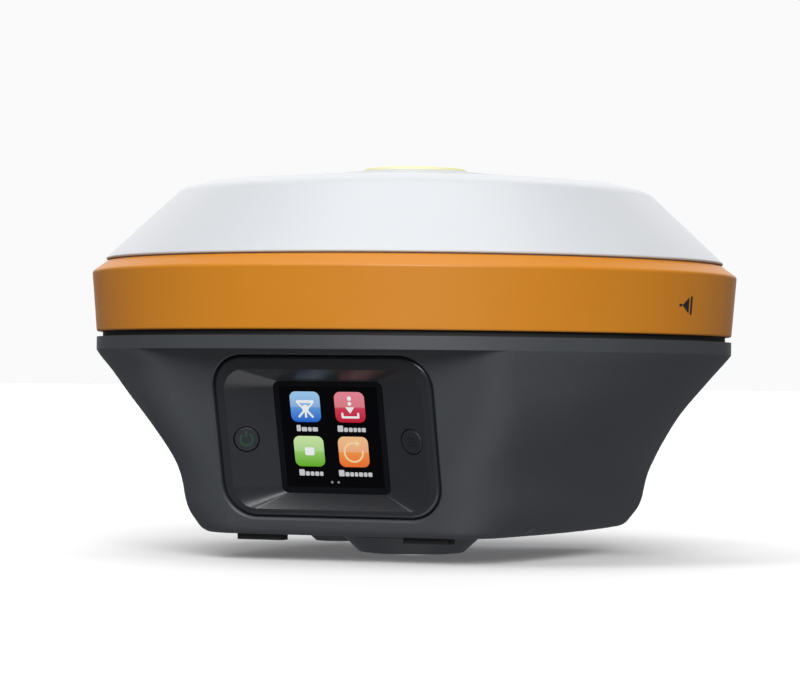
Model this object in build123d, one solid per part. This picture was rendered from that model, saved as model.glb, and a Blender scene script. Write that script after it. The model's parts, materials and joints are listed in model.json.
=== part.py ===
"""Surveying GNSS receiver: a round radome over a squared lower housing, as separate pieces.

Frame: millimetres, +Z up, origin at the centre of the pole boss's lower face, which is the
antenna reference point. The flat front with the screen faces -Y and the battery door +Y.
"""
import os
from math import asin, cos, radians, sin, sqrt, tan

from build123d import *

# ---- driving dimensions -------------------------------------------------------------
RING_R = 79.0                    # widest part, the crease of the protective ring
RING_FOOT_R = 77.8               # ring and skirt just below it
RING_FOOT_Z, RING_CREASE_Z, RING_TOP_Z = 53.7, 68.3, 70.9
RIM_Z = 52.4                     # top of the lower housing
SKIRT_Z = 49.3                   # lower edge of the upright skirt
BASE_Z = 6.1                     # underside of the housing, above the boss face
BASE_ROUND = 4.2                 # rounding of the housing's lower edge
SIDE_X, SIDE_X_Z, SIDE_DRAFT = 46.0, 10.5, 0.28     # half width near the base, and its draft
KNEE_X, KNEE_Z, KNEE_BLEND = 49.0, 21.0, 5.5        # where the sides turn out into the flare
FLARE_BEND = 0.14                # how much of the flare's run is curved
SIDE_SWELL, SIDE_SPLAY = 1.6, 0.056                    # fullness over the base; rear is wider
BASE_CORNER, SKIRT_CORNER = 14.0, 11.0              # plan radii of the housing's corners
WALL = 2.5
FACE_TILT = 15.5                 # the flat front and back lean out by this much
FACE_Y0 = 50.8                   # their distance from the axis at z = 0
FACE_MID_Z = 29.0                # middle of the bezel and of the battery door
RADOME_R = 76.2
RADOME_BASE_Z = 71.2
SHELL_R = 74.6                   # radome skirt inside the ring
CROWN_Z = 92.0
SCREW_CIRCLE = 70.0              # the cover screws, under the skirt's front and back shelves
PLUG_R = 3.0                     # plugs that hide the cover screws

THREAD_R = 6.8                   # wall radius of the 5/8 inch pole thread
THREAD_DEPTH = 18.0
BOSS_R, BOSS_ROOT_R, BOSS_ROOT_Z = 12.7, 17.0, 4.3
INSERT_R = 10.4

BEZEL_W, BEZEL_H, BEZEL_R = 54.0, 39.0, 8.0
BEZEL_LIP = 2.7                  # width of the rounded rim round the funnel
BEZEL_SUNK = 0.4                 # rim below the housing's face
SCREEN = 27.0
SCREEN_DEPTH = 3.9
SCREEN_DROP = 1.1                # screen and keys sit below the bezel's middle
SCREEN_AT = (0, -SCREEN_DROP)
KEY_X, KEY_R = 20.4, 2.9

DOOR_W, DOOR_TOP, DOOR_T = 64.0, 15.5, 2.0
HINGE_Y, HINGE_DEPTH = -16.5, 1.9
GAP = 0.3                        # gap round anything that moves

BOARD_Z, BOARD_T = 42.0, 1.6
CHASSIS_Z, CHASSIS_T = 49.5, 2.0
ANTENNA_Z = 58.0

ANTENNA_PORT = (-24.0, 11.0)
DATA_PORT = (26.5, -9.0)
USB_PORT = (26.5, 13.0)

TILT_COS, TILT_SIN = cos(radians(FACE_TILT)), sin(radians(FACE_TILT))
FACE_SLOPE = tan(radians(FACE_TILT))
FACE_MID_Y = FACE_Y0 + FACE_MID_Z * FACE_SLOPE
FRONT = Plane((0, -FACE_MID_Y, FACE_MID_Z), (1, 0, 0), (0, -TILT_COS, -TILT_SIN))
REAR = Plane((0, FACE_MID_Y, FACE_MID_Z), (-1, 0, 0), (0, TILT_COS, -TILT_SIN))

os.makedirs("parts", exist_ok=True)


def save(node, shape):
    """Write one node; a list becomes a group of separate solids."""
    if isinstance(shape, (list, tuple)):
        shape = Compound(children=list(shape))
    export_step(shape, f"parts/{node}.step")


# ---- helpers ------------------------------------------------------------------------
def turned(points, rounds=None, centre=(0, 0)):
    """Turn an outline of (radius, height) points about a vertical axis.

    rounds maps the number of a point to the radius that rounds it.
    """
    face = make_face(Polyline(*[(r, 0, z) for r, z in points], close=True)).face()
    for number, radius in (rounds or {}).items():
        corner = Vector(points[number][0], 0, points[number][1])
        vertex = min(face.vertices(), key=lambda v: (Vector(*v) - corner).length)
        face = face.fillet_2d(radius, [vertex])
    solid = revolve(face, Axis.Z)
    return Pos(centre[0], centre[1], 0) * solid


def rod(radius, low, high, centre=(0, 0)):
    return Pos(centre[0], centre[1], low) * Cylinder(
        radius, high - low, align=(Align.CENTER, Align.CENTER, Align.MIN))


def tube(outer, inner, low, high, centre=(0, 0)):
    return rod(outer, low, high, centre) - rod(inner, low - 1, high + 1, centre)


def slab(width, depth, low, high, centre=(0, 0), corner=0.0):
    """An upright-sided plate lying flat, with rounded plan corners."""
    outline = RectangleRounded(width, depth, corner) if corner else Rectangle(width, depth)
    return extrude(Pos(centre[0], centre[1], low) * outline, high - low)


def plate_on(plane, width, height, top, bottom, corner=0.0, at=(0, 0)):
    """A plate on a tilted face, from depth bottom up to depth top along its normal."""
    outline = RectangleRounded(width, height, corner) if corner else Rectangle(width, height)
    return plane * extrude(Pos(at[0], at[1], bottom) * outline, top - bottom)


def frame_on(plane, outer, inner, top, bottom, at=(0, 0)):
    """A rectangular ring on a tilted face; outer and inner are (width, height, corner)."""
    return (plate_on(plane, outer[0], outer[1], top, bottom, outer[2], at)
            - plate_on(plane, inner[0], inner[1], top + 1, bottom - 1, inner[2], at))


def around(count, radius, start=0.0):
    for i in range(count):
        angle = radians(start + 360 * i / count)
        yield radius * cos(angle), radius * sin(angle)


# ---- lower housing ------------------------------------------------------------------
def smooth(low, high, z):
    t = min(max((z - low) / (high - low), 0.0), 1.0)
    return t * t * (3 - 2 * t)


def steep_side(z):
    return SIDE_X + (z - SIDE_X_Z) * SIDE_DRAFT


def flared_side(z):
    u = (SKIRT_Z - z) / (SKIRT_Z - KNEE_Z)
    return RING_FOOT_R - (RING_FOOT_R - KNEE_X) * ((1 - FLARE_BEND) * u + FLARE_BEND * u * u)


def side_reach(z):
    """Half width of the housing: a steep base that turns out into a 45 degree flare."""
    low, high = KNEE_Z - KNEE_BLEND, KNEE_Z + KNEE_BLEND
    swell = SIDE_SWELL * (smooth(6.0, 15.0, z) - 0.375) - smooth(24.0, 36.0, z)
    if z < low:
        return steep_side(z) + swell
    if z > high:
        return flared_side(z) + swell
    t = (z - low) / (high - low)
    return ((1 - t) ** 2 * steep_side(low) + 2 * t * (1 - t) * KNEE_X
            + t * t * flared_side(high) + swell)


def side_splay(z):
    """How far the sides turn out towards the rear, as a slope; none up at the round skirt."""
    return SIDE_SPLAY * (1 - smooth(22.0, 40.0, z))


def side_bow(z):
    """Radius of the side's plan curve: nearly straight at the base, round at the skirt."""
    t = smooth(8.0, SKIRT_Z, z)
    return 1 / ((1 - t) / 300.0 + t / RING_FOOT_R)


def housing_section(z, inset=0.0):
    """Plan outline at height z: two flat faces, two bowed sides and four corner arcs."""
    face_y = FACE_Y0 + z * FACE_SLOPE - inset
    reach, bow = side_reach(z) - inset, side_bow(z) - inset
    widest_y = side_bow(z) * side_splay(z)
    corner = BASE_CORNER - (BASE_CORNER - SKIRT_CORNER) * smooth(20.0, SKIRT_Z, z) - inset
    middle = reach - bow

    def rounding(end):
        """Points of one corner from its flat face to its side; end is -1 front, +1 rear."""
        centre_y = end * (face_y - corner)
        centre_x = middle + sqrt((bow - corner) ** 2 - (centre_y - widest_y) ** 2)
        turn = asin((centre_y - widest_y) / (bow - corner))
        half = (end * radians(90) + turn) / 2
        return [(centre_x, end * face_y),
                (centre_x + corner * cos(half), centre_y + corner * sin(half)),
                (middle + bow * cos(turn), widest_y + bow * sin(turn))]

    front, rear = rounding(-1), rounding(1)

    def at(point, side=1):
        return (point[0] * side, point[1], z)

    edges = [
        Line(at(front[0], -1), at(front[0])),
        ThreePointArc(*[at(p) for p in front]),
        ThreePointArc(at(front[2]), (reach, widest_y, z), at(rear[2])),
        ThreePointArc(*[at(p) for p in reversed(rear)]),
        Line(at(rear[0]), at(rear[0], -1)),
        ThreePointArc(*[at(p, -1) for p in rear]),
        ThreePointArc(at(rear[2], -1), (-reach, widest_y, z), at(front[2], -1)),
        ThreePointArc(*[at(p, -1) for p in reversed(front)]),
    ]
    return Wire(edges)


def housing_loft(low, high, inset=0.0):
    """A smooth body through evenly spaced sections."""
    count = 12
    heights = [low + (high - low) * i / (count - 1) for i in range(count)]
    return Solid.make_loft([housing_section(z, inset) for z in heights])


SCREW_SPOTS = [(SCREW_CIRCLE * sin(radians(a)), s * SCREW_CIRCLE * cos(radians(a)))
               for s in (-1, 1) for a in (-13.0, 0.0, 13.0)]
POSTS = [(38.0, 29.0), (-38.0, 29.0), (38.0, -29.0), (-38.0, -29.0)]


def lower_housing():
    body = housing_loft(BASE_Z, SKIRT_Z)
    rim = [e for e in body.edges() if abs(e.center().Z - BASE_Z) < 0.01]
    body = fillet(rim, BASE_ROUND)
    body += rod(RING_FOOT_R, SKIRT_Z, RIM_Z)
    body += turned([(0, BASE_Z + 1), (BOSS_ROOT_R, BASE_Z + 1), (BOSS_ROOT_R, BOSS_ROOT_Z),
                    (BOSS_R, 0.3), (0, 0.3)], {3: 1.2})
    body -= housing_loft(BASE_Z + WALL, SKIRT_Z + 0.2, WALL)
    mouth = Face(housing_section(SKIRT_Z, WALL - 0.6))
    body -= Pos(0, 0, -1) * extrude(mouth, RIM_Z - SKIRT_Z + 3, dir=(0, 0, 1))

    # inside: the boss core, posts for the chassis, wells for the ports, the door's frame
    body += rod(13.4, BASE_Z + 1, 23.0)
    for spot in POSTS:
        body += rod(3.2, BASE_Z + 1, CHASSIS_Z, spot)
    body += rod(10.4, BASE_Z + 1, 21.0, ANTENNA_PORT)
    body += slab(26.0, 20.0, BASE_Z + 1, 12.0, (DATA_PORT[0] + 2.5, DATA_PORT[1]), 4.0)
    body += slab(25.0, 13.0, BASE_Z + 1, 12.0, (USB_PORT[0] + 3.0, USB_PORT[1]), 3.0)
    body += plate_on(REAR, 76.0, 40.0, -1.0, -5.0, 4.0, (0, -1.0))

    # the pole insert's seat
    body -= rod(INSERT_R, -1, 21.0)

    # front: an opening for the bezel with a bevelled edge
    opening = (BEZEL_W + 0.3, BEZEL_H + 0.3, BEZEL_R + 0.15)
    body -= plate_on(FRONT, opening[0], opening[1], 2.0, -6.0, opening[2])
    bevel = loft([FRONT * Pos(0, 0, d) * RectangleRounded(
        opening[0] + 2 * g, opening[1] + 2 * g, opening[2] + g)
        for d, g in ((-0.4, 0.0), (0.2, 0.6))])
    body -= bevel

    # rear: pocket, sealing ledge, battery opening, latch notch and hinge pin holes
    pocket_low = HINGE_Y - HINGE_DEPTH - GAP
    pocket_h = DOOR_TOP + GAP - pocket_low
    body -= plate_on(REAR, DOOR_W + 2 * GAP, pocket_h, 3.0, -2.6, 1.5,
                     (0, pocket_low + pocket_h / 2))
    body -= plate_on(REAR, DOOR_W + 2 * GAP, 4.6, 3.0, -4.1, 0.5, (0, pocket_low + 2.3))
    body -= plate_on(REAR, 58.0, 24.7, 0, -7.0, 2.0, (0, -0.85))
    body -= plate_on(REAR, 11.0, 4.0, 3.0, -1.9, 0.8, (0, DOOR_TOP))
    body -= REAR * Pos(0, HINGE_Y, -HINGE_DEPTH) * Rot(0, 90, 0) * Cylinder(0.8, 70.0)

    # underside: port wells, cap recesses, grille, vent, nameplate recess
    body -= rod(8.3, BASE_Z - 1, 19.0, ANTENNA_PORT)
    body -= rod(4.1, 18.0, 22.0, ANTENNA_PORT)
    body -= cap_recess(DATA_PORT, 16.0, 16.0, 7.9)
    body -= rod(6.55, BASE_Z - 1, 13.0, DATA_PORT)
    body -= cap_recess(USB_PORT, 15.0, 9.0, 2.2)
    body -= slab(9.3, 3.6, BASE_Z - 1, 13.0, USB_PORT, 1.7)
    for x, y in list(around(6, 3.4)) + [(0, 0)]:
        body -= rod(0.9, BASE_Z - 1, BASE_Z + 4, (x - 24.0, y - 17.0))
    body -= rod(2.6, BASE_Z - 1, BASE_Z + 4, (8.0, 26.0))
    body -= slab(34.4, 12.4, BASE_Z - 1, BASE_Z + 0.4, (0, 36.0), 2.0)

    for spot in SCREW_SPOTS:
        body -= rod(1.7, SKIRT_Z - 1, RIM_Z + 1, spot)
        body -= rod(PLUG_R, SKIRT_Z - 1, SKIRT_Z + 2.1, spot)
    return body


def cap_recess(centre, width, depth, corner):
    """A shallow recess for a rubber cap, with a groove for its hinge on the outer side."""
    x, y = centre
    groove = slab(5.0, 6.0, BASE_Z - 1, BASE_Z + 2.1, (x + width / 2 + 1.4, y), 0.8)
    return slab(width, depth, BASE_Z - 1, BASE_Z + 2.0, centre, corner) + groove


# ---- radome, ring and badge -----------------------------------------------------------
def radome():
    shell = turned([(72.4, 53.1), (SHELL_R, 53.1), (SHELL_R, RADOME_BASE_Z),
                    (RADOME_R, RADOME_BASE_Z), (57.4, 88.7), (51.0, 90.4), (36.6, 91.0),
                    (36.0, 91.5), (20.4, 91.9), (0, CROWN_Z), (0, 89.6), (50.2, 88.0),
                    (55.6, 86.6), (72.4, 71.5)],
                   {3: 0.35, 4: 6.0, 5: 16.0, 12: 5.0, 13: 6.0})
    for spot in SCREW_SPOTS:
        boss = rod(3.4, 53.1, 68.0, spot) & rod(73.0, 50.0, 70.0)
        shell += boss - rod(1.25, 50.0, 64.0, spot)
    return shell


def protective_ring():
    ring = turned([(74.8, RIM_Z), (75.6, RIM_Z), (75.6, RING_FOOT_Z), (RING_FOOT_R, RING_FOOT_Z),
                   (RING_R, RING_CREASE_Z), (75.4, RING_TOP_Z), (74.8, RING_TOP_Z)],
                  {3: 0.5, 4: 0.9, 5: 0.25})
    return ring


def crown_badge():
    return turned([(0, CROWN_Z), (19.6, 91.95), (20.0, 92.2), (18.8, 93.1), (13.0, 93.6),
                   (12.4, 94.4), (0, 95.0)], {3: 0.8, 4: 0.5, 5: 0.5})


# ---- front: bezel, keys and screen ----------------------------------------------------
FUNNEL_W, FUNNEL_H = BEZEL_W - 2 * BEZEL_LIP, BEZEL_H - 2 * BEZEL_LIP
SLOPE = asin(0.305)              # lean of the funnel's left and right slopes


def key_plane(side):
    """On a slope of the funnel, looking out of it; side is -1 left, +1 right."""
    lean = (-side * sin(SLOPE), 0, cos(SLOPE))
    run = (FUNNEL_W - SCREEN) / 2
    depth = BEZEL_SUNK + (FUNNEL_W / 2 - KEY_X) / run * (SCREEN_DEPTH - BEZEL_SUNK)
    return FRONT * Plane((side * KEY_X, -SCREEN_DROP, -depth),
                         (cos(SLOPE), 0, side * sin(SLOPE)), lean)


def control_bezel():
    body = plate_on(FRONT, BEZEL_W, BEZEL_H, -BEZEL_SUNK, -5.0, BEZEL_R)
    rim = [e for e in body.edges() if FRONT.to_local_coords(e.center()).Z > -0.5]
    body = fillet(rim, 1.2)
    body += plate_on(FRONT, BEZEL_W + 5, BEZEL_H + 5, -3.2, -5.0, BEZEL_R + 2.5)
    body += plate_on(FRONT, 33.0, 33.0, -4.9, -7.0, 3.0, SCREEN_AT)
    funnel = loft([FRONT * Pos(0, -drop, d) * RectangleRounded(w, h, r) for drop, d, w, h, r in (
        (0.6, 0.3, FUNNEL_W + 4.4, FUNNEL_H + 1.4, 6.2),
        (SCREEN_DROP, -SCREEN_DEPTH, SCREEN, SCREEN, 1.6))])
    body -= funnel
    body -= plate_on(FRONT, SCREEN, SCREEN, 0, -5.6, 1.6, SCREEN_AT)
    body -= plate_on(FRONT, 24.4, 24.4, 0, -9.0, 0.8, SCREEN_AT)
    for side in (-1, 1):
        body -= key_plane(side) * Cylinder(KEY_R + 0.2, 12.0)
        body -= key_plane(side) * Pos(0, 0, -6.6) * Cylinder(KEY_R + 1.5, 8.0)
    return body


def key(side):
    """A round key, crowned, with a retaining flange behind the slope."""
    head = Pos(0, 0, -1.4) * Cylinder(KEY_R, 3.1)
    head = fillet(head.edges().filter_by(GeomType.CIRCLE).sort_by(Axis.Z)[-1:], 0.35)
    flange = Pos(0, 0, -3.4) * Cylinder(KEY_R + 1.1, 1.0)
    stem = Pos(0, 0, -4.05) * Cylinder(1.2, 1.1)
    return key_plane(side) * (head + flange + stem)


# ---- rear: battery bay, door and latch --------------------------------------------------
def battery_bay():
    outer = plate_on(REAR, 61.0, 27.7, -5.0, -27.0, 2.5, (0, -0.85))
    return outer - plate_on(REAR, 58.0, 24.7, 0, -25.5, 2.0, (0, -0.85))


def battery_pack():
    pack = plate_on(REAR, 56.6, 23.8, -4.6, -24.6, 2.0, (0, -0.85))
    label = plate_on(REAR, 40.0, 14.0, 0, -4.75, 1.5, (0, -0.85))
    return pack - label


def battery_door():
    height = DOOR_TOP - HINGE_Y
    door = plate_on(REAR, DOOR_W, height, 0, -DOOR_T, 0, (0, HINGE_Y + height / 2))
    uprights = [e for e in door.edges()
                if REAR.to_local_coords(e.center()).Y > DOOR_TOP - 0.01
                and abs(REAR.to_local_coords(e.center()).X) > DOOR_W / 2 - 0.01]
    door = fillet(uprights, 1.4)
    barrel = REAR * Pos(0, HINGE_Y, -HINGE_DEPTH) * Rot(0, 90, 0) * Cylinder(HINGE_DEPTH, DOOR_W)
    door += barrel
    door -= REAR * Pos(0, HINGE_Y, -HINGE_DEPTH) * Rot(0, 90, 0) * Cylinder(0.86, DOOR_W + 2)
    door -= plate_on(REAR, 10.6, 14.0, 1.0, -1.25, 0.8, (0, 11.0))
    door -= plate_on(REAR, 3.4, 6.2, 0, -3.0, 0.6, (0, 7.7))
    for i in range(5):
        door -= plate_on(REAR, 36.0, 0.9, 1.0, -0.35, 0.4, (0, -11.0 + 2.4 * i))
    return door


def door_latch():
    """Sprung slider: the nose stands over the door's top edge, the shank goes through it."""
    slider = plate_on(REAR, 10.0, 9.6, -0.15, -1.15, 0.6, (0, 11.6))
    for i in range(4):
        slider += plate_on(REAR, 7.6, 0.7, 0.35, -0.5, 0.3, (0, 8.6 + 1.5 * i))
    slider += plate_on(REAR, 3.0, 3.4, -1.0, -2.2, 0.4, (0, 8.7))
    return slider + plate_on(REAR, 8.0, 4.2, -2.15, -2.85, 0.6, (0, 8.7))


# ---- ports under the housing --------------------------------------------------------------
def antenna_connector():
    """Threaded coaxial socket: flange on the well's floor, threaded barrel, centre pin."""
    body = tube(5.55, 4.1, 9.0, 17.6, ANTENNA_PORT)
    body += rod(5.55, 15.0, 17.6, ANTENNA_PORT) + rod(7.6, 17.4, 19.0, ANTENNA_PORT)
    body += rod(3.9, 18.9, 24.0, ANTENNA_PORT) + rod(2.4, 12.0, 15.2, ANTENNA_PORT)
    return body - rod(0.7, 10.0, 14.0, ANTENNA_PORT)


def antenna_cap():
    cap = turned([(0, 2.1), (5.2, 2.1), (8.8, 5.2), (8.8, 6.05), (7.9, 6.05), (7.9, 7.6),
                  (6.7, 7.6), (6.7, 5.0), (0, 5.0)], {1: 0.6, 2: 0.5}, ANTENNA_PORT)
    x, y = ANTENNA_PORT
    strap = slab(3.0, 5.0, 4.2, 5.9, (x - 8.9, y))
    barrel = Pos(x - 10.4, y, 5.0) * Rot(90, 0, 0) * Cylinder(0.9, 5.0)
    return cap + strap - rod(6.6, 5.0, 9.0, ANTENNA_PORT) + barrel


def flap_cap(centre, width, depth, corner, lip):
    """A flush rubber cap with a hinge tab on its outer side and a lip round the socket."""
    x, y = centre
    cap = slab(width - 0.6, depth - 0.6, BASE_Z, BASE_Z + 1.3, centre, corner)
    tab = slab(3.6, 4.6, BASE_Z + 0.1, BASE_Z + 1.3, (x + width / 2 + 0.6, y), 0.5)
    barrel = Pos(x + width / 2 + 1.7, y, BASE_Z + 0.9) * Rot(90, 0, 0) * Cylinder(0.75, 4.6)
    cap = cap + tab + barrel
    cap -= slab(3.2, min(depth - 4, 6.0), BASE_Z - 0.1, BASE_Z + 0.45,
                (x - width / 2 + 2.4, y), 1.0)
    return cap + lip


def data_socket():
    shell = tube(6.5, 4.3, 8.2, 20.0, DATA_PORT) + tube(8.4, 6.0, 12.05, 13.4, DATA_PORT)
    insulator = rod(4.35, 13.4, 20.0, DATA_PORT)
    socket = shell + insulator
    for x, y in list(around(6, 2.4)) + [(0, 0)]:
        socket -= rod(0.45, 12.0, 16.0, (DATA_PORT[0] + x, DATA_PORT[1] + y))
    return socket


def usb_socket():
    shell = slab(9.0, 3.3, 8.3, 17.0, USB_PORT, 1.55) - slab(8.2, 2.5, 8.0, 14.5, USB_PORT, 1.2)
    tongue = slab(6.4, 0.7, 9.2, 15.0, USB_PORT)
    return shell + tongue + slab(11.0, 7.0, 14.6, 17.6, USB_PORT, 0.8)


# ---- inside -----------------------------------------------------------------------------
def chassis():
    plate = rod(62.0, CHASSIS_Z, CHASSIS_Z + CHASSIS_T)
    plate -= plate_on(FRONT, 74.0, 60.0, 5.0, -14.0, 4.0, (0, 20.0))
    for x, y in POSTS:
        plate -= rod(1.3, CHASSIS_Z - 1, CHASSIS_Z + 4, (x, y))
    plate -= rod(6.0, CHASSIS_Z - 1, CHASSIS_Z + 4, (16.0, 0))
    for x, y in around(4, 30.0, 45):
        plate += rod(2.6, CHASSIS_Z + CHASSIS_T - 0.1, ANTENNA_Z, (x, y))
    ribs = tube(58.0, 56.4, CHASSIS_Z - 3.0, CHASSIS_Z + 0.1)
    ribs -= plate_on(FRONT, 120.0, 60.0, 10.0, -14.0, 4.0, (0, 20.0))
    ribs -= plate_on(REAR, 120.0, 60.0, 10.0, -30.0, 4.0, (0, 8.0))
    for x, y in POSTS:
        ribs -= rod(4.2, CHASSIS_Z - 5, CHASSIS_Z + 1, (x, y))
    return plate + ribs


def lead(points, radius, bend):
    """A coaxial lead along straight runs joined by tangent arcs."""
    path = FilletPolyline(*points, radius=bend)
    start = path % 0
    return sweep(Plane(path @ 0, z_dir=start) * Circle(radius), path)


BOARD_HOLES = [(30.0, -36.0), (-30.0, -36.0), (30.0, 12.0), (-30.0, 12.0)]


def main_board():
    board = slab(68.0, 56.0, BOARD_Z, BOARD_Z + BOARD_T, (0, -12.0), 3.0)
    for spot in BOARD_HOLES:
        board -= rod(1.3, BOARD_Z - 1, BOARD_Z + 4, spot)
    return board


def screw(head_r, shank_r, head_z, head_h, tip_z, spot):
    """A pan-head screw that points up, its head below."""
    body = rod(head_r, head_z, head_z + head_h, spot) + rod(shank_r, head_z, tip_z, spot)
    return body - rod(head_r * 0.42, head_z - 1, head_z + head_h * 0.55, spot)


# ---- write every node ---------------------------------------------------------------------
save("lower_housing", lower_housing())
save("radome", radome())
save("protective_ring", protective_ring())
save("crown_badge", crown_badge())
save("foot_seal", tube(76.3, 75.6, RIM_Z, RING_FOOT_Z))
save("cover_seal", tube(74.4, 72.5, RIM_Z, 53.1))
save("cover_screws", [screw(2.6, 1.2, SKIRT_Z + 0.9, 1.2, 63.0, s) for s in SCREW_SPOTS])
save("screw_plugs", [rod(PLUG_R, SKIRT_Z, SKIRT_Z + 0.8, s) for s in SCREW_SPOTS])
save("pole_insert", turned([(THREAD_R + 1.0, 0), (INSERT_R, 0), (INSERT_R, 21.0), (0, 21.0),
                            (0, THREAD_DEPTH), (THREAD_R, THREAD_DEPTH), (THREAD_R, 0.9)]))
save("front_feet", [slab(11.6, 4.6, 4.7, BASE_Z, (x, -45.6), 1.0) for x in (-20.8, 20.8)])
save("rear_feet", [slab(11.0, 5.0, 4.7, BASE_Z, (x, 44.6), 1.0) for x in (-24, 24)])

save("control_bezel", control_bezel())
save("bezel_seal", frame_on(FRONT, (BEZEL_W + 4.4, BEZEL_H + 4.4, 10.0),
                            (BEZEL_W + 1.2, BEZEL_H + 1.2, 8.6), -2.45, -3.2))
save("screen_glass", plate_on(FRONT, 26.8, 26.8, -SCREEN_DEPTH, -5.0, 1.5, SCREEN_AT))
save("screen_gasket", frame_on(FRONT, (26.6, 26.6, 1.2), (24.6, 24.6, 0.8), -5.0, -5.6,
                               SCREEN_AT))
save("display_module", plate_on(FRONT, 32.0, 35.0, -7.0, -10.2, 1.0))
save("power_key", key(-1))
save("function_key", key(1))
save("key_board", [plate_on(FRONT, 9.0, 16.0, -7.5, -8.5, 1.0, (s * 21.5, 0)) for s in (-1, 1)])

save("battery_bay", battery_bay())
save("battery_pack", battery_pack())
save("battery_contacts", [plate_on(REAR, 3.0, 8.0, -24.6, -25.5, 0.3, (x, 0))
                          for x in (-18.0, -12.0, 12.0, 18.0)])
save("door_seal", frame_on(REAR, (62.0, 27.9, 3.0), (59.4, 25.3, 2.2), -2.0, -2.6, (0, -0.2)))
save("battery_door", battery_door())
save("door_latch", door_latch())
save("hinge_pin", REAR * Pos(0, HINGE_Y, -HINGE_DEPTH) * Rot(0, 90, 0) * Cylinder(0.8, 70.0))

save("antenna_connector", antenna_connector())
save("antenna_cap", antenna_cap())
save("data_socket", data_socket())
save("data_cap", flap_cap(DATA_PORT, 16.0, 16.0, 7.6, tube(5.6, 4.8, 7.3, 7.9, DATA_PORT)))
save("usb_socket", usb_socket())
save("usb_cap", flap_cap(USB_PORT, 15.0, 9.0, 2.0, slab(11.4, 5.6, 7.3, 7.9, USB_PORT, 1.6)
                         - slab(10.2, 4.4, 7.0, 8.2, USB_PORT, 1.2)))
save("vent_plug", tube(2.6, 1.0, BASE_Z + 0.2, BASE_Z + 3.4, (8.0, 26.0))
     + rod(3.6, BASE_Z + 2.5, BASE_Z + 3.4, (8.0, 26.0)))
save("nameplate", slab(34.0, 12.0, BASE_Z, BASE_Z + 0.4, (0, 36.0), 1.8))
save("speaker", tube(6.0, 4.6, BASE_Z + WALL, 11.0, (-24.0, -17.0))
     + rod(6.0, 11.0, 14.0, (-24.0, -17.0)))

save("chassis_frame", chassis())
save("main_board", main_board())
save("board_standoffs", [rod(2.4, BOARD_Z + BOARD_T, CHASSIS_Z, s) for s in BOARD_HOLES])
save("board_screws", [screw(2.3, 1.2, BOARD_Z - 1.4, 1.4, BOARD_Z + BOARD_T, s)
                      for s in BOARD_HOLES])
save("positioning_module", slab(30.0, 22.0, BOARD_Z + BOARD_T, 47.0, (-14.0, -22.0), 1.0))
save("radio_module", slab(24.0, 30.0, 38.6, BOARD_Z, (-14.0, -8.0), 1.0))
save("modem_module", slab(22.0, 18.0, BOARD_Z + BOARD_T, 46.4, (15.5, -25.0), 1.0))
save("tilt_sensor", slab(12.0, 12.0, BOARD_Z + BOARD_T, 46.6, (20.0, 2.0), 1.0))
save("card_tray", slab(16.0, 24.0, 39.8, BOARD_Z, (16.0, -14.0), 0.8))
save("display_ribbon", extrude(Plane.YZ * make_face(Polyline(
    (-46.5, 42.6), (-46.0, 43.6), (-37.0, 43.6), (-37.0, 43.9), (-46.3, 43.9), (-46.9, 42.7),
    close=True)), 5.0, both=True))
save("antenna_board", slab(96.0, 96.0, ANTENNA_Z, ANTENNA_Z + 1.6, (0, 0), 14.0))
save("antenna_screen", slab(40.0, 30.0, 53.4, ANTENNA_Z, (-6.0, 0), 2.0))
save("lower_patch", slab(70.0, 70.0, ANTENNA_Z + 1.6, 67.6, (0, 0), 8.0))
save("upper_patch", slab(46.0, 46.0, 67.6, 75.0, (0, 0), 5.0))
save("patch_pin", rod(1.0, 75.0, 76.2, (4.0, 0)))
save("wireless_antenna", slab(1.2, 26.0, RIM_Z - 0.9, 66.0, (64.0, 0)))
save("antenna_lead", lead([(16.0, 0, ANTENNA_Z), (16.0, 0, 51.0), (9.0, -3.0, 48.0),
                           (9.0, -3.0, BOARD_Z + BOARD_T)], 0.9, 2.4))
x0, y0 = ANTENNA_PORT
save("radio_lead", lead([(x0, y0, 24.0), (x0, y0, 31.0), (x0 + 4.0, y0 - 12.0, 33.5),
                         (x0 + 4.0, y0 - 12.0, 38.6)], 0.9, 3.0))
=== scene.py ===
"""Looks of a GNSS survey receiver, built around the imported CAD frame. Lengths here are in
millimetres and turn into metres where a mesh is made; MM is one millimetre in metres."""
import json
import math

import bmesh
import bpy
from mathutils import Matrix, Quaternion, Vector


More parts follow.
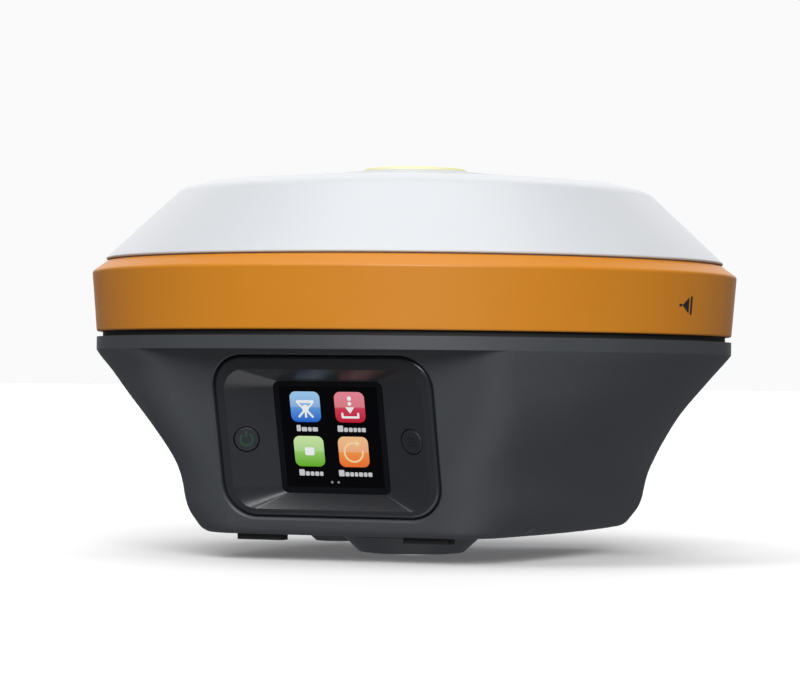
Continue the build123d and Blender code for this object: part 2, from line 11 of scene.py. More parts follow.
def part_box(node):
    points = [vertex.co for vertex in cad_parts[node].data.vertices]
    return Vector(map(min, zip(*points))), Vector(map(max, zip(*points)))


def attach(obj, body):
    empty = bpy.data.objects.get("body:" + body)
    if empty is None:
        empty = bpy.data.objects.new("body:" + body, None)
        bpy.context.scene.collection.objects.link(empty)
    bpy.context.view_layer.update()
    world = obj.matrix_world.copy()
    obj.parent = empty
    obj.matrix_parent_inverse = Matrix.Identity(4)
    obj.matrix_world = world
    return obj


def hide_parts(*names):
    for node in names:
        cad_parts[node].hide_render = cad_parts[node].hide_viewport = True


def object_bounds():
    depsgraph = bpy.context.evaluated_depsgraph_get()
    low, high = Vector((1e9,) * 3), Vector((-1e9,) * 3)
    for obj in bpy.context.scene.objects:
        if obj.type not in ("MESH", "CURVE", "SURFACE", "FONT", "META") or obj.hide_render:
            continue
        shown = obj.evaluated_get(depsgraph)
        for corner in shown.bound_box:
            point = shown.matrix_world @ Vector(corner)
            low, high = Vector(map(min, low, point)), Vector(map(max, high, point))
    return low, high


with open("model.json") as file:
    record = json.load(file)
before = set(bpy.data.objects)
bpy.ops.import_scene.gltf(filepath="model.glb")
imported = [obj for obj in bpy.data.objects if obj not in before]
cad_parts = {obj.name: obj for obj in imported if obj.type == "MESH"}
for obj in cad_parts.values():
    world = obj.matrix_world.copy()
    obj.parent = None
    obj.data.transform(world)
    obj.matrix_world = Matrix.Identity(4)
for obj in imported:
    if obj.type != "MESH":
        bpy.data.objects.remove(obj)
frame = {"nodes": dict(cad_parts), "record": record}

cad_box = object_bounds()
MM = 0.001

# ---- driving sizes, the same as the CAD source's ---------------------------------------------
FACE_TILT = math.radians(15.5)     # the flat front and back lean out by this much
KEY_LEAN = math.asin(0.305)        # lean of the funnel's slopes, which carry the keys
GLASS_T = 1.1
ACTIVE = 24.4                      # side of the display's lit area
THREAD_R = 6.8                     # crest radius of the 5/8 inch pole thread
POLE_PITCH = 2.309
POLE_THREAD_CUT = 1.1
POLE_THREAD_TOP = 18.0
CONNECTOR_R = 5.55                 # crest radius of the 7/16 inch connector thread
CONNECTOR_PITCH = 0.907
CONNECTOR_CUT = 0.5
CONTACT_CIRCLE = 2.4               # the data socket's outer contacts


# ---- finishes --------------------------------------------------------------------------------
def paint(red, green, blue):
    """A colour given as 0 to 255 display values, in the linear values that shaders use."""
    def line(v):
        v /= 255
        return v / 12.92 if v <= 0.04045 else ((v + 0.055) / 1.055) ** 2.4
    return (line(red), line(green), line(blue), 1.0)


class Shade:
    """A number that changes over a surface; sums on it add Math nodes to its finish."""

    def __init__(self, finish, socket):
        self.finish, self.socket = finish, socket

    def _sum(self, operation, *terms):
        inputs = {i: t for i, t in enumerate(terms)}
        return self.finish.node("ShaderNodeMath", {"operation": operation}, inputs)

    def __add__(self, other):
        return self._sum("ADD", self, other)

    def __sub__(self, other):
        return self._sum("SUBTRACT", self, other)

    def __rsub__(self, other):
        return self._sum("SUBTRACT", other, self)

    def __mul__(self, other):
        return self._sum("MULTIPLY", self, other)

    def __truediv__(self, other):
        return self._sum("DIVIDE", self, other)

    def __pow__(self, other):
        return self._sum("POWER", self, other)

    __radd__, __rmul__ = __add__, __mul__

    def step(self, low, high):
        """0 below low, 1 above high, and smooth in between; low may be the larger."""
        return self.finish.node(
            "ShaderNodeMapRange", {"interpolation_type": "SMOOTHSTEP"},
            {"Value": self, "From Min": low, "From Max": high}, "Result")


class Finish:
    """One material: a Principled shader and the nodes that drive it."""

    def __init__(self, name, **sockets):
        self.material = bpy.data.materials.new(name)
        self.material.use_nodes = True
        self.tree = self.material.node_tree
        self.tree.nodes.clear()
        self.shader = self.tree.nodes.new("ShaderNodeBsdfPrincipled")
        output = self.tree.nodes.new("ShaderNodeOutputMaterial")
        self.tree.links.new(self.shader.outputs[0], output.inputs[0])
        self.set(self.shader, sockets)

    def set(self, node, sockets):
        for key, value in sockets.items():
            if isinstance(value, Shade):
                self.tree.links.new(value.socket, node.inputs[key])
            else:
                node.inputs[key].default_value = value

    def node(self, kind, settings=None, sockets=None, output=0):
        made = self.tree.nodes.new(kind)
        for key, value in (settings or {}).items():
            setattr(made, key, value)
        self.set(made, sockets or {})
        return Shade(self, made.outputs[output])

    def drive(self, **sockets):
        self.set(self.shader, {k.replace("_", " "): v for k, v in sockets.items()})
        return self

    def place(self):
        """Where a point of the piece is, in metres in the row frame."""
        return self.node("ShaderNodeTexCoord", output="Object")

    def axis(self, name):
        return self.node("ShaderNodeSeparateXYZ", None, {0: self.place()}, name)

    def stretched(self, x, y, z):
        return self.node("ShaderNodeVectorMath", {"operation": "MULTIPLY"},
                         {0: self.place(), 1: (x, y, z)})

    def grain(self, size, detail=3.0, where=None):
        """Noise from 0 to 1 whose blotches are about size millimetres across."""
        return self.node("ShaderNodeTexNoise", None,
                         {"Vector": where or self.place(), "Scale": 1 / (size * MM),
                          "Detail": detail, "Roughness": 0.55}, "Fac")

    def cells(self, size, where=None):
        """Distance to the nearest cell centre, for pebbled and leathery textures."""
        return self.node("ShaderNodeTexVoronoi", None,
                         {"Vector": where or self.place(), "Scale": 1 / (size * MM)}, "Distance")

    def blend(self, first, second, share):
        """A colour that is first where share is 0 and second where it is 1."""
        mix = self.tree.nodes.new("ShaderNodeMix")
        mix.data_type = "RGBA"
        self.set(mix, {0: share, 6: first, 7: second})
        return Shade(self, mix.outputs[2])

    def relief(self, height, depth):
        """Bumps as deep as depth millimetres where height goes from 0 to 1."""
        return self.node("ShaderNodeBump", None,
                         {"Height": height, "Distance": depth * MM, "Strength": 1.0})

    def clear_from_behind(self):
        """Lets the underside be seen through a floor."""
        clear = self.tree.nodes.new("ShaderNodeBsdfTransparent")
        mix = self.tree.nodes.new("ShaderNodeMixShader")
        behind = self.node("ShaderNodeNewGeometry", output="Backfacing")
        for socket, index in ((behind.socket, 0), (self.shader.outputs[0], 1),
                              (clear.outputs[0], 2)):
            self.tree.links.new(socket, mix.inputs[index])
        self.tree.links.new(mix.outputs[0], self.tree.get_output_node("ALL").inputs[0])


def moulded(name, light, dark, roughness, pebble, depth, spread=0.08, **sockets):
    """Moulded plastic or rubber: pebbled texture, cloudy colour, uneven sheen."""
    f = Finish(name, **{"Specular IOR Level": 0.5, **sockets})
    clouds = f.grain(18.0, 2.0)
    fine = f.grain(pebble * 0.6, 2.0)
    colour = f.blend(dark, light, clouds * 0.6 + fine * 0.4)
    height = f.cells(pebble) * 0.6 + fine * 0.4
    return f.drive(Base_Color=colour, Roughness=roughness - spread / 2 + clouds * spread,
                   Normal=f.relief(height, depth)).material


def machined(name, light, dark, roughness, where_turned=None):
    """Bare metal with fine tool marks, and a duller bloom in patches."""
    f = Finish(name, Metallic=1.0)
    marks = f.grain(0.35, 2.0, f.stretched(*(where_turned or (0.15, 0.15, 1.0))))
    bloom = f.grain(6.0, 3.0)
    return f.drive(Base_Color=f.blend(dark, light, bloom),
                   Roughness=roughness - 0.05 + bloom * 0.12,
                   Normal=f.relief(marks, 0.006)).material


def crown_paint():
    """Grey boss whose raised middle is pale yellow with a small dark sighting dot."""
    f = Finish("crown_paint", Roughness=0.38)
    low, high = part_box("crown_badge")
    across = (f.axis("X") ** 2.0 + f.axis("Y") ** 2.0) ** 0.5 / MM
    field = f.axis("Z").step(high.z - 1.25 * MM, high.z - 1.05 * MM)
    dot = across.step(1.5, 1.25)
    clouds = f.grain(9.0, 2.0)
    grey = f.blend(paint(196, 198, 198), paint(212, 213, 212), clouds)
    yellow = f.blend(paint(228, 224, 158), paint(236, 232, 176), clouds)
    colour = f.blend(f.blend(grey, yellow, field), paint(46, 48, 50), dot)
    return f.drive(Base_Color=colour, Normal=f.relief(f.cells(0.5), 0.008)).material


def cover_glass():
    """Black cover glass: printed border, deeper black over the lit area, faint smears."""
    f = Finish("cover_glass", **{"Specular IOR Level": 0.14})
    low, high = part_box("screen_glass")
    middle = (low + high) / 2
    half = ACTIVE / 2 * MM
    aside = f.node("ShaderNodeMath", {"operation": "ABSOLUTE"}, {0: f.axis("X") - middle.x})
    along = f.node("ShaderNodeMath", {"operation": "ABSOLUTE"},
                   {0: (f.axis("Z") - middle.z) / math.cos(FACE_TILT)})
    inside = aside.step(half, half - 0.2 * MM) * along.step(half, half - 0.2 * MM)
    smears = f.grain(5.0, 4.0, f.stretched(1.0, 1.0, 0.35))
    return f.drive(Base_Color=f.blend(paint(17, 18, 22), paint(3, 3, 5), inside),
                   Roughness=0.06 + smears * 0.07).material


def solder_mask():
    """Green circuit board with copper tracks under the lacquer."""
    f = Finish("solder_mask", Roughness=0.35)
    tracks = f.cells(2.2, f.stretched(1.0, 0.5, 1.0)).step(0.42, 0.47)
    return f.drive(Base_Color=f.blend(paint(16, 66, 40), paint(38, 104, 62), tracks),
                   Normal=f.relief(tracks, 0.03)).material


def fired_ceramic():
    f = Finish("fired_ceramic", Roughness=0.55)
    specks = f.grain(0.8, 4.0)
    return f.drive(Base_Color=f.blend(paint(198, 188, 168), paint(222, 214, 198), specks),
                   Normal=f.relief(specks, 0.02)).material


def lit_tile(name, top, bottom, z_low, z_high):
    """A lit icon tile: a vertical run of colour with a lighter band across its upper half."""
    f = Finish(name, **{"Roughness": 0.2, "Emission Strength": 0.92})
    rise = (f.axis("Z") - z_low) / (z_high - z_low)
    gloss = rise.step(0.46, 0.52) * 0.16
    glow = f.blend(f.blend(bottom, top, rise), (1.0, 1.0, 1.0, 1.0), gloss)
    return f.drive(Base_Color=f.blend(paint(5, 5, 6), paint(9, 9, 11), rise),
                   Emission_Color=glow).material


def lit_ink(name, colour, strength):
    f = Finish(name, **{"Roughness": 0.25, "Emission Strength": strength})
    speckle = f.grain(0.35, 1.0)
    dim = tuple(c * 0.82 for c in colour[:3]) + (1.0,)
    return f.drive(Base_Color=f.blend(paint(12, 12, 14), paint(22, 22, 24), speckle),
                   Emission_Color=f.blend(dim, colour, speckle)).material


FINISHES = {
    "housing_plastic": moulded("textured_grey_housing", paint(70, 73, 77), paint(60, 63, 67),
                               0.5, 0.55, 0.022),
    "radome_plastic": moulded("satin_white_radome", paint(210, 212, 215), paint(205, 208, 211),
                              0.34, 0.8, 0.003, 0.06),
    "ring_rubber": moulded("orange_guard_rubber", paint(216, 138, 30), paint(209, 130, 25),
                           0.42, 0.7, 0.005, 0.08),
    "badge_plastic": crown_paint(),
    "bezel_plastic": moulded("satin_black_bezel", paint(36, 38, 43), paint(31, 33, 37),
                             0.28, 0.5, 0.004, **{"Specular IOR Level": 0.8}),
    "key_rubber": moulded("black_key_rubber", paint(36, 38, 43), paint(31, 33, 37),
                          0.5, 0.4, 0.008),
    "screen_glass": cover_glass(),
    "display": moulded("display_back_grey", paint(120, 124, 130), paint(96, 100, 106),
                       0.4, 0.9, 0.01),
    "seal_rubber": moulded("soft_black_seal", paint(34, 34, 36), paint(24, 24, 26),
                           0.72, 0.45, 0.02),
    "port_rubber": moulded("soft_grey_caps", paint(62, 64, 68), paint(52, 54, 58),
                           0.66, 0.5, 0.02),
    "steel": machined("stainless_steel", paint(196, 198, 200), paint(168, 170, 173), 0.3),
    "brass": machined("gold_plated_brass", paint(226, 188, 110), paint(205, 162, 88), 0.26),
    "aluminium": machined("anodised_aluminium", paint(186, 189, 193), paint(160, 163, 168),
                          0.4, (1.0, 0.06, 1.0)),
    "board": solder_mask(),
    "ceramic": fired_ceramic(),
    "battery_plastic": moulded("battery_case_black", paint(40, 41, 44), paint(30, 31, 34),
                               0.48, 0.7, 0.02),
    "bay_plastic": moulded("bay_dark_grey", paint(62, 64, 68), paint(52, 54, 58),
                           0.55, 0.7, 0.015),
    "lead_jacket": moulded("black_lead_jacket", paint(38, 38, 40), paint(26, 26, 28),
                           0.5, 0.6, 0.01),
}
LEGEND_INK = moulded("printed_dark_legend", paint(38, 34, 32), paint(30, 27, 26), 0.5, 0.4, 0.003)
LABEL_PAPER = moulded("satin_label_film", paint(206, 207, 205), paint(194, 195, 193),
                      0.42, 1.2, 0.004)
LABEL_INK = moulded("label_print", paint(70, 72, 76), paint(58, 60, 64), 0.5, 0.6, 0.003)

for part in frame["record"]["subparts"]:
    mesh = frame["nodes"][part["node"]].data
    mesh.materials.clear()
    mesh.materials.append(FINISHES[part["material_slot"]])


# ---- mesh helpers ----------------------------------------------------------------------------
def piece(name, points, faces, finish, body, slot=None, smooth=False):
    """A new mesh piece from points in millimetres; its outward side is worked out."""
    mesh = bpy.data.meshes.new(name)
    mesh.from_pydata([Vector(p) * MM for p in points], [], faces)
    shape = bmesh.new()
    shape.from_mesh(mesh)
    bmesh.ops.recalc_face_normals(shape, faces=shape.faces)
    shape.to_mesh(mesh)
    shape.free()
    mesh.materials.append(finish)
    if smooth:
        mesh.shade_smooth()
        mesh.set_sharp_from_angle(angle=math.radians(32))
    made = bpy.data.objects.new(name, mesh)
    bpy.context.scene.collection.objects.link(made)
    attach(made, body)
    return made


def round_corners(corners, radius, steps=6):
    """A closed outline with each corner rounded to radius."""
    out = []
    for i, corner in enumerate(corners):
        here = Vector(corner)
        back = (Vector(corners[i - 1]) - here).normalized()
        ahead = (Vector(corners[(i + 1) % len(corners)]) - here).normalized()
        half = back.angle(ahead) / 2
        middle = here + (back + ahead).normalized() * (radius / math.sin(half))
        start = here + back * (radius / math.tan(half)) - middle
        end = here + ahead * (radius / math.tan(half)) - middle
        turn = start.angle_signed(end)
        for s in range(steps + 1):
            a = -turn * s / steps
            out.append(middle + Matrix.Rotation(a, 2) @ start)
    return out


def box_outline(width, height, radius, x=0.0, y=0.0):
    w, h = width / 2, height / 2
    return round_corners([(x - w, y - h), (x + w, y - h), (x + w, y + h), (x - w, y + h)], radius)


def disc_outline(radius, x=0.0, y=0.0, steps=32):
    return [(x + radius * math.cos(a), y + radius * math.sin(a))
            for a in (2 * math.pi * i / steps for i in range(steps))]


def arc_band(radius, width, start, end, x=0.0, y=0.0, steps=28):
    """A curved stroke from start to end degrees."""
    turns = [math.radians(start + (end - start) * i / steps) for i in range(steps + 1)]
    outer = [(x + (radius + width / 2) * math.cos(a), y + (radius + width / 2) * math.sin(a))
             for a in turns]
    inner = [(x + (radius - width / 2) * math.cos(a), y + (radius - width / 2) * math.sin(a))
             for a in reversed(turns)]
    return outer + inner


def stroke(start, end, width):
    """A straight bar between two points."""
    a, b = Vector(start), Vector(end)
    aside = (b - a).normalized().orthogonal() * (width / 2)
    return [a - aside, b - aside, b + aside, a + aside]


def plates(place, outlines, low, high):
    """Points and faces of flat plates on a placing matrix, from low to high above it."""
    points, faces = [], []
    for outline in outlines:
        count, first = len(outline), len(points)
        for level in (low, high):
            points += [place @ Vector((p[0], p[1], level)) for p in outline]
        faces.append(list(range(first, first + count)))
        faces.append(list(range(first + count, first + 2 * count)))
        for i in range(count):
            j = (i + 1) % count
            faces.append([first + i, first + j, first + count + j, first + count + i])
    return points, faces


def framed(place, outer, inner, low, high):
    """A flat frame between two outlines that have the same number of points."""
    count = len(outer)
    points = [place @ Vector((p[0], p[1], level))
              for level in (low, high) for ring in (outer, inner) for p in ring]
    faces = []
    for i in range(count):
        j = (i + 1) % count
        for a, b in ((0, 1), (1, 3), (3, 2), (2, 0)):
            faces.append([a * count + i, a * count + j, b * count + j, b * count + i])
    return points, faces


def thread_ridge(height, turn, pitch):
    """0 at a groove's bottom and 1 on a crest, for a flat-topped 60 degree thread."""
    share = (height / pitch - turn) % 1.0
    return min(1.0, max(0.0, (0.5 - abs(share - 0.5)) * 2.6 - 0.2))


def turned(rows, centre=(0.0, 0.0), steps=96):
    """A lathe shape. A row is (radius, z), or (radius of a turn share, z) for a thread; the
    first and last rows are points on the axis."""
    points = [(centre[0], centre[1], rows[0][1])]
    for radius, z in rows[1:-1]:
        for i in range(steps):
            r = radius(i / steps) if callable(radius) else radius
            a = 2 * math.pi * i / steps
            points.append((centre[0] + r * math.cos(a), centre[1] + r * math.sin(a), z))
    points.append((centre[0], centre[1], rows[-1][1]))
    last, faces = len(points) - 1, []
    rings = len(rows) - 2
    for i in range(steps):
        j = (i + 1) % steps
        faces.append([0, 1 + i, 1 + j])
        faces.append([last, last - steps + j, last - steps + i])
        for ring in range(rings - 1):
            a, b = 1 + ring * steps, 1 + (ring + 1) * steps
            faces.append([a + i, b + i, b + j, a + j])
    return points, faces


def thread_rows(crest, cut, low, high, pitch, per_pitch=10):
    """Rows up a threaded wall; cut is how far the grooves go out, or in when negative. The
    thread fades out over its last turn at each end."""
    count = round((high - low) / pitch * per_pitch)
    rows = []
    for k in range(count + 1):
        z = low + (high - low) * k / count
        fade = min(1.0, (z - low) / pitch, (high - z) / pitch)
        rows.append((lambda t, z=z, fade=fade:
                     crest + cut * fade * (1 - thread_ridge(z - low, t, pitch)), z))
    return rows


# ---- places on the object, from the frame ----------------------------------------------------
def millimetres(node):
    low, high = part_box(node)
    return low / MM, high / MM


def facing(origin, across, up):
    """A placing matrix whose first two axes lie on a face and whose third looks out of it."""
    across, up = Vector(across).normalized(), Vector(up).normalized()
    out = across.cross(up)
    place = Matrix((across, up, out)).transposed().to_4x4()
    place.translation = origin
    return place


def top_of(node, out):
    """The middle of a node's flat end that looks along out."""
    points = [v.co / MM for v in frame["nodes"][node].data.vertices]
    reach = max(p.dot(out) for p in points)
    rim = [p for p in points if reach - p.dot(out) < 0.01]
    return sum(rim, Vector()) / len(rim)


FACE_UP = Vector((0, -math.sin(FACE_TILT), math.cos(FACE_TILT)))
FACE_OUT = Vector((0, -math.cos(FACE_TILT), -math.sin(FACE_TILT)))
glass_low, glass_high = millimetres("screen_glass")
GLASS = facing((glass_low + glass_high) / 2 + FACE_OUT * (GLASS_T / 2), (1, 0, 0), FACE_UP)


# ---- what the display shows: four tiles, their marks, captions and page dots -----------------
TILE_W, TILE_H, TILE_R = 7.4, 7.3, 1.5
TILE_X, TILE_HIGH_Y, TILE_LOW_Y = 5.5, 7.4, -3.3
TILE_SHIFT = -0.35                 # the page sits a little left of the glass's middle
CAPTION_GAP, CAPTION_DROP = 0.22, 5.9   # between bars, and from a tile's middle to their foot
FIRST_BAR, LATER_BAR = 1.5, 1.0    # heights of a caption's bars
TILES = [                          # name, place, top and bottom colours, widths of its bars
    ("blue", -TILE_X, TILE_HIGH_Y, paint(126, 190, 232), paint(26, 98, 205),
     (1.0, 1.35, 0.9, 1.3)),
    ("red", TILE_X, TILE_HIGH_Y, paint(226, 84, 112), paint(186, 14, 44),
     (1.35, 0.95, 0.95, 0.8, 0.75, 1.0)),
    ("green", -TILE_X, TILE_LOW_Y, paint(188, 226, 138), paint(92, 172, 26),
     (1.35, 1.0, 0.9, 1.0, 0.8)),
    ("orange", TILE_X, TILE_LOW_Y, paint(238, 176, 96), paint(236, 106, 36),
     (1.35, 1.0, 0.9, 0.8, 1.0, 0.85, 1.0)),
]
PAGE = GLASS @ Matrix.Translation((TILE_SHIFT, 0, 0))
captions = []
for colour, x, y, top, bottom, widths in TILES:
    outline = box_outline(TILE_W, TILE_H, TILE_R, x, y)
    points, faces = plates(PAGE, [outline], 0.01, 0.05)
    heights = [p.z * MM for p in points]
    glow = lit_tile("lit_%s_tile" % colour, top, bottom, min(heights), max(heights))
    piece("icon_tile_" + colour, points, faces, glow, "receiver", "display")
    left = x - (sum(widths) + CAPTION_GAP * (len(widths) - 1)) / 2
    for i, width in enumerate(widths):
        tall = FIRST_BAR if i == 0 else LATER_BAR
        captions.append(box_outline(width, tall, 0.24, left + width / 2,
                                    y - CAPTION_DROP + tall / 2))
        left += width + CAPTION_GAP

blue_mark = [
    box_outline(4.4, 0.7, 0.3, -TILE_X, TILE_HIGH_Y + 1.25),
    stroke((-TILE_X - 1.9, TILE_HIGH_Y + 1.0), (-TILE_X - 0.5, TILE_HIGH_Y - 0.5), 0.4),
    stroke((-TILE_X + 1.9, TILE_HIGH_Y + 1.0), (-TILE_X + 0.5, TILE_HIGH_Y - 0.5), 0.4),
    disc_outline(0.85, -TILE_X, TILE_HIGH_Y - 0.35),
    stroke((-TILE_X - 0.3, TILE_HIGH_Y - 0.9), (-TILE_X - 1.8, TILE_HIGH_Y - 2.5), 0.5),
    stroke((-TILE_X + 0.3, TILE_HIGH_Y - 0.9), (-TILE_X + 1.8, TILE_HIGH_Y - 2.5), 0.5),
    stroke((-TILE_X, TILE_HIGH_Y - 1.0), (-TILE_X, TILE_HIGH_Y - 2.6), 0.5),
]
red_mark = [
    disc_outline(0.5, TILE_X, TILE_HIGH_Y + 2.1),
    disc_outline(0.45, TILE_X, TILE_HIGH_Y + 0.85),
    [(TILE_X - 1.1, TILE_HIGH_Y + 0.0), (TILE_X, TILE_HIGH_Y - 1.5),
     (TILE_X + 1.1, TILE_HIGH_Y + 0.0)],
    box_outline(4.3, 0.5, 0.2, TILE_X, TILE_HIGH_Y - 2.4),
    box_outline(0.5, 1.2, 0.2, TILE_X - 1.95, TILE_HIGH_Y - 1.9),
    box_outline(0.5, 1.2, 0.2, TILE_X + 1.95, TILE_HIGH_Y - 1.9),
]
green_mark = [box_outline(2.3, 1.9, 0.35, -TILE_X + 0.1, TILE_LOW_Y)]
orange_mark = [
    arc_band(2.25, 0.42, 70, 372, TILE_X, TILE_LOW_Y - 0.1),
    [(TILE_X + 0.65, TILE_LOW_Y + 2.9), (TILE_X + 0.75, TILE_LOW_Y + 1.3),
     (TILE_X + 1.75, TILE_LOW_Y + 2.1)],
]
white_light = lit_ink("lit_white_mark", paint(246, 250, 250), 0.9)
grey_light = lit_ink("lit_grey_caption", paint(212, 214, 216), 0.85)
piece("icon_marks", *plates(PAGE, blue_mark + red_mark + green_mark, 0.05, 0.08),
      white_light, "receiver", "display")
piece("icon_mark_return", *plates(PAGE, orange_mark, 0.05, 0.08),
      lit_ink("lit_cream_mark", paint(255, 222, 170), 0.9), "receiver", "display")
piece("icon_captions", *plates(PAGE, captions, 0.01, 0.05), grey_light, "receiver", "display")
piece("page_dots", *plates(PAGE, [disc_outline(0.3, x, -10.7, 16) for x in (-0.5, 1.1)],
                           0.01, 0.05),
      lit_ink("lit_dim_dots", paint(150, 152, 156), 0.8), "receiver", "display")


# ---- key legends and the ring's measuring mark -----------------------------------------------
def key_face(node, side):
    out = (Vector((1, 0, 0)) * (-side * math.sin(KEY_LEAN)) + FACE_OUT * math.cos(KEY_LEAN))
    return facing(top_of(node, out), FACE_UP.cross(out), FACE_UP)


power_legend = moulded("dark_green_legend", paint(46, 92, 66), paint(28, 62, 46),
                       0.35, 0.4, 0.003)
piece("power_key_legend",
      *plates(key_face("power_key", -1),
              [arc_band(1.45, 0.42, 125, 415), stroke((0, 0.55), (0, 2.1), 0.42)], -0.02, 0.04),
      power_legend, "power_key", "key_rubber")
piece("function_key_legend",
      *plates(key_face("function_key", 1),
              [stroke((-1.2, 0.8), (1.2, 0.8), 0.36), stroke((-1.2, 0.0), (1.2, 0.0), 0.36),
               stroke((-1.2, -0.8), (1.2, -0.8), 0.36)], -0.02, 0.04),
      moulded("faint_grey_legend", paint(30, 32, 36), paint(24, 26, 30), 0.3, 0.4, 0.003),
      "function_key", "key_rubber")

MARK_TURN = math.radians(-16.2)    # from the right-hand side towards the front
MARK_SHARE = 0.44                  # of the way up the ring
ring_low, ring_high = millimetres("protective_ring")
mark_z = ring_low.z + MARK_SHARE * (ring_high.z - ring_low.z)
spoke = Vector((math.cos(MARK_TURN), math.sin(MARK_TURN), 0))
_, spot, out, _ = frame["nodes"]["protective_ring"].ray_cast(
    (spoke * 200 + Vector((0, 0, mark_z))) * MM, -spoke)
ring_side = Vector((0, 0, 1)).cross(out)
ring_face = facing(spot / MM, ring_side, out.cross(ring_side))
piece("ring_height_mark",
      *plates(ring_face, [round_corners([(-1.6, 0), (1.2, -1.9), (1.2, 1.9)], 0.15),
                          box_outline(0.7, 4.3, 0.2, 2.2, 0.0),
                          box_outline(1.2, 0.6, 0.2, -2.3, 0.0)], -0.09, 0.05),
      LEGEND_INK, "receiver", "ring_rubber")


# ---- threaded fittings -----------------------------------------------------------------------
insert_low, insert_high = millimetres("pole_insert")
insert_r = (insert_high.x - insert_low.x) / 2
pole_rows = [(0, POLE_THREAD_TOP + 1.2), (THREAD_R - 0.2, POLE_THREAD_TOP)]
pole_rows += list(reversed(thread_rows(THREAD_R, POLE_THREAD_CUT, 0.9, POLE_THREAD_TOP,
                                       POLE_PITCH)))
pole_rows += [(THREAD_R + 1.25, insert_low.z), (insert_r - 0.4, insert_low.z),
              (insert_r, insert_low.z + 0.4), (insert_r, insert_high.z), (0, insert_high.z)]
threaded_insert = piece("pole_insert_threaded", *turned(pole_rows), FINISHES["steel"],
                        "receiver", "steel", True)
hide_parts("pole_insert")

port_low, port_high = millimetres("antenna_connector")
port = ((port_low.x + port_high.x) / 2, (port_low.y + port_high.y) / 2)
mouth = port_low.z                 # the open end of the connector
connector_rows = [(0, mouth + 5.0), (0.7, mouth + 5.0), (0.7, mouth + 3.0), (2.2, mouth + 3.0),
                  (2.4, mouth + 3.2), (2.4, mouth + 6.0), (4.1, mouth + 6.0), (4.1, mouth + 0.3),
                  (4.4, mouth), (5.0, mouth)]
connector_rows += thread_rows(CONNECTOR_R, -CONNECTOR_CUT, mouth + 0.3, mouth + 8.3,
                              CONNECTOR_PITCH, 8)
connector_rows += [(CONNECTOR_R, mouth + 8.4), (7.6, mouth + 8.4), (7.6, mouth + 10.0),
                   (3.9, mouth + 10.0), (3.9, port_high.z), (0, port_high.z)]
connector = piece("antenna_connector_threaded", *turned(connector_rows, port, 72),
                  FINISHES["brass"], "receiver", "brass", True)
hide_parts("antenna_connector")

socket_low, socket_high = millimetres("data_socket")
cx, cy = (socket_low.x + socket_high.x) / 2, (socket_low.y + socket_high.y) / 2
contact_z = socket_low.z + 5.2     # face of the insulator
points, faces = [], []
contact_spots = [(cx, cy)] + disc_outline(CONTACT_CIRCLE, cx, cy, 6)
for spot_xy in contact_spots:
    ring_points, ring_faces = turned(
        [(0, contact_z + 1.6), (0.24, contact_z + 1.6), (0.26, contact_z - 0.05),
         (0.36, contact_z - 0.12), (0.43, contact_z), (0.43, contact_z + 2.4),
         (0, contact_z + 2.4)], spot_xy, 20)
    faces += [[i + len(points) for i in face] for face in ring_faces]
    points += ring_points
piece("data_contacts", points, faces, FINISHES["brass"], "receiver", "brass", True)


# ---- labels: a blank framed plate underneath, and the battery's printed film -----------------
plate_low, plate_high = millimetres("nameplate")
under = facing(((plate_low.x + plate_high.x) / 2, (plate_low.y + plate_high.y) / 2, plate_low.z),
               (-1, 0, 0), (0, 1, 0))
plate_w, plate_h = plate_high.x - plate_low.x, plate_high.y - plate_low.y
piece("nameplate_border",
      *framed(under, box_outline(plate_w - 1.6, plate_h - 1.6, 1.2),
              box_outline(plate_w - 2.6, plate_h - 2.6, 0.8), -0.02, 0.05),
      LABEL_INK, "receiver", "aluminium")

REAR_OUT = Vector((0, math.cos(FACE_TILT), -math.sin(FACE_TILT)))
REAR_UP = Vector((0, math.sin(FACE_TILT), math.cos(FACE_TILT)))
pack_points = [v.co / MM for v in frame["nodes"]["battery_pack"].data.vertices]
pack_reach = max(p.dot(REAR_OUT) for p in pack_points)
pack_mid = sum(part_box("battery_pack"), Vector()) / 2 / MM
pack_front = pack_mid + REAR_OUT * (pack_reach - 0.15 - pack_mid.dot(REAR_OUT))
rear_label = facing(pack_front, (-1, 0, 0), REAR_UP)
piece("battery_label", *plates(rear_label, [box_outline(39.4, 13.4, 1.2)], -0.01, 0.08),
      LABEL_PAPER, "receiver", "battery_plastic")
label_lines = [box_outline(w, 0.7, 0.2, -16.5 + w / 2, y)
               for w, y in ((16.0, 4.2), (22.0, 2.2), (19.0, 0.2), (12.0, -1.8))]
arrow = [(12.0, -3.4), (15.4, -3.4), (15.4, 0.4), (17.4, 0.4), (13.7, 4.4), (10.0, 0.4),
         (12.0, 0.4)]
piece("battery_label_print", *plates(rear_label, label_lines + [arrow], 0.07, 0.11),
      LABEL_INK, "receiver", "battery_plastic")


# ---- floor, light and camera -----------------------------------------------------------------
scene = bpy.context.scene
scene.view_settings.view_transform = "Standard"

FLOOR_REACH = 30.0                 # metres
floor_mesh = bpy.data.meshes.new("studio_floor")
floor_mesh.from_pydata([(x * FLOOR_REACH, y * FLOOR_REACH, cad_box[0].z)
                        for x, y in ((-1, -1), (1, -1), (1, 1), (-1, 1))], [], [(0, 1, 2, 3)])
floor = bpy.data.objects.new("studio_floor", floor_mesh)
scene.collection.objects.link(floor)
paper = Finish("pale_paper", **{"Roughness": 0.9, "Emission Color": (1.0, 1.0, 1.0, 1.0),
                               "Emission Strength": 0.1})
paper.drive(Base_Color=paper.blend(paint(246, 246, 246), paint(250, 250, 250), paper.grain(40.0)))
paper.clear_from_behind()
floor_mesh.materials.append(paper.material)

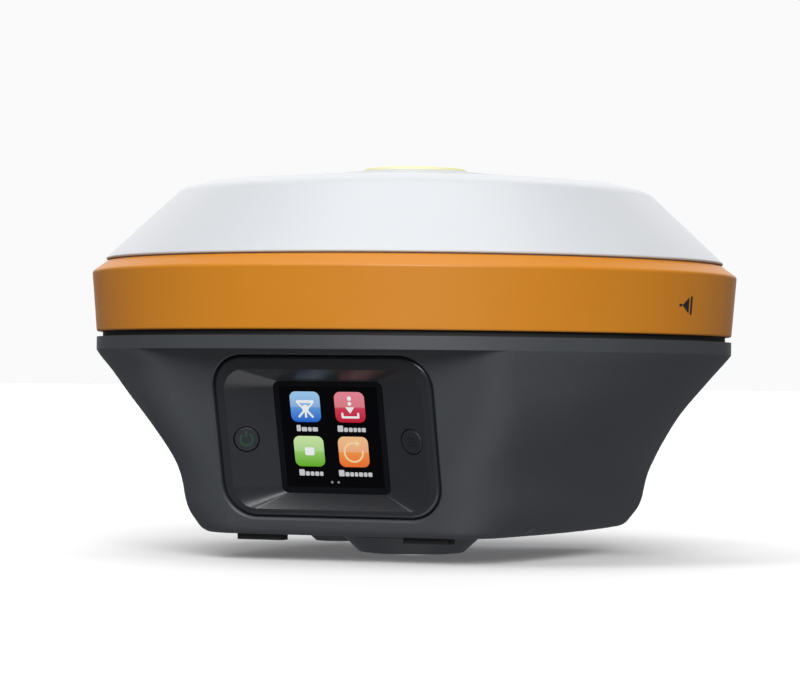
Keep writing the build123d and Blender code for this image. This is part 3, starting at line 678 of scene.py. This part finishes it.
world = bpy.data.worlds.new("studio")
scene.world = world
world.use_nodes = True
backdrop = (0.955, 0.955, 0.96, 1.0)    # what the camera sees
ambient = (0.16, 0.16, 0.17, 1.0)       # what lights the object
tree = world.node_tree
seen = tree.nodes.new("ShaderNodeLightPath").outputs["Is Camera Ray"]
tint = tree.nodes.new("ShaderNodeMix")
tint.data_type = "RGBA"
tint.inputs[6].default_value, tint.inputs[7].default_value = ambient, backdrop
tree.links.new(seen, tint.inputs[0])
tree.links.new(tint.outputs[2], tree.nodes["Background"].inputs["Color"])
# The floor catches shadows but throws no light or shadow on the object; floor_bounce does.
floor.visible_diffuse = floor.visible_glossy = floor.visible_shadow = False


def soft_light(name, toward, strength, spread):
    """A distant round light that fills spread degrees of the sky, from the toward side."""
    light = bpy.data.lights.new(name, "SUN")
    light.energy, light.angle = strength, math.radians(spread)
    made = bpy.data.objects.new(name, light)
    made.rotation_mode = "QUATERNION"
    made.rotation_quaternion = Vector(toward).to_track_quat("Z", "Y")
    scene.collection.objects.link(made)


LIGHTS = [                         # name, the side it comes from, strength, spread in degrees
    ("key_light", (0.32, -0.82, 0.47), 2.5, 34),
    ("overhead_light", (0.0, -0.05, 1.0), 0.95, 50),
    ("left_light", (-0.35, -0.48, 0.8), 0.55, 22),
    ("floor_bounce", (0.15, -0.35, -0.92), 0.55, 60),
    ("rear_fill", (-0.31, 0.85, 0.42), 0.9, 60),
]
for light_row in LIGHTS:
    soft_light(*light_row)

CAMERA_TURN = math.radians(20.0)   # round the object from its front, to the right
CAMERA_RANGE, CAMERA_Z = 829.5, 41.8
AIM_SIDE, AIM_UP, CAMERA_ROLL = math.radians(0.236), math.radians(0.766), math.radians(0.58)
camera_data = bpy.data.cameras.new("camera")
camera_data.lens, camera_data.sensor_width = 151.6, 36.0
camera_data.clip_start, camera_data.clip_end = 0.01, 100.0
camera = bpy.data.objects.new("camera", camera_data)
scene.collection.objects.link(camera)
camera.location = Vector((CAMERA_RANGE * math.sin(CAMERA_TURN),
                          -CAMERA_RANGE * math.cos(CAMERA_TURN), CAMERA_Z)) * MM
ahead = Vector((-math.sin(CAMERA_TURN), math.cos(CAMERA_TURN), 0))
ahead = Quaternion((0, 0, 1), AIM_SIDE) @ ahead
ahead.z = math.tan(AIM_UP)
camera.rotation_mode = "QUATERNION"
camera.rotation_quaternion = (ahead.to_track_quat("-Z", "Y")
                              @ Quaternion((0, 0, 1), CAMERA_ROLL))
scene.camera = camera
